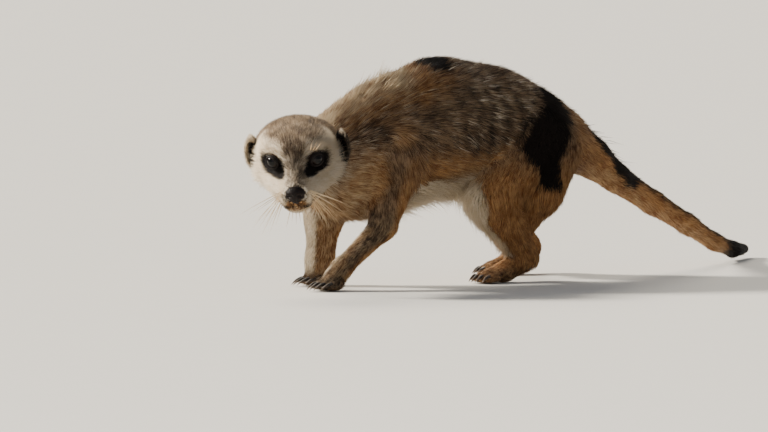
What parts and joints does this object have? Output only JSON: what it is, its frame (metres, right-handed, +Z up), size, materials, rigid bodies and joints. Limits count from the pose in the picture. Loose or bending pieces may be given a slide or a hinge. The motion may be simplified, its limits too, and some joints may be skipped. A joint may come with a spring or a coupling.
{
  "type": "meerkat",
  "caption": "Life-size adult meerkat walking on all fours with an arched back, head lowered and turned to its left, tail trailing down behind it.",
  "frame": {"origin": "on the floor under the middle of the whole animal's box, tail and whiskers included", "axes": "+Z up from the floor; -Y towards the head, along the body; +X towards the animal's left"},
  "size_m": [0.129, 0.446, 0.1371],
  "materials": {
    "coat_back": "grizzled brown short fur",
    "coat_flank": "brown fur with pale flecks",
    "coat_leg": "orange-tan short fur",
    "coat_tail": "orange-brown fur",
    "coat_dark": "near-black short fur",
    "coat_face": "pale grizzled grey-brown fur",
    "coat_pale": "white short fur with stiff pale whiskers",
    "nose_skin": "moist dark brown skin",
    "eye": "glossy very dark brown eye"
  },
  "bodies": {
    "root": {"chest": "coat_flank", "neck": "coat_flank", "loin": "coat_back", "thigh_left": "coat_leg", "thigh_right": "coat_leg", "shank_left": "coat_leg", "shank_right": "coat_leg", "foot_left": "coat_leg", "foot_right": "coat_leg", "upper_arm_left": "coat_leg", "upper_arm_right": "coat_leg", "forearm_left": "coat_leg", "forearm_right": "coat_leg", "paw_left": "coat_leg", "paw_right": "coat_leg", "tail_root": "coat_back", "tail_middle": "coat_tail", "tail_tip": "coat_dark", "head": "coat_face", "lower_jaw": "coat_face", "whisker_pad_left": "coat_pale", "whisker_pad_right": "coat_pale", "ear_left": "coat_dark", "ear_right": "coat_dark", "nose": "nose_skin", "eye_left": "eye", "eye_right": "eye"}
  },
  "joints": []
}
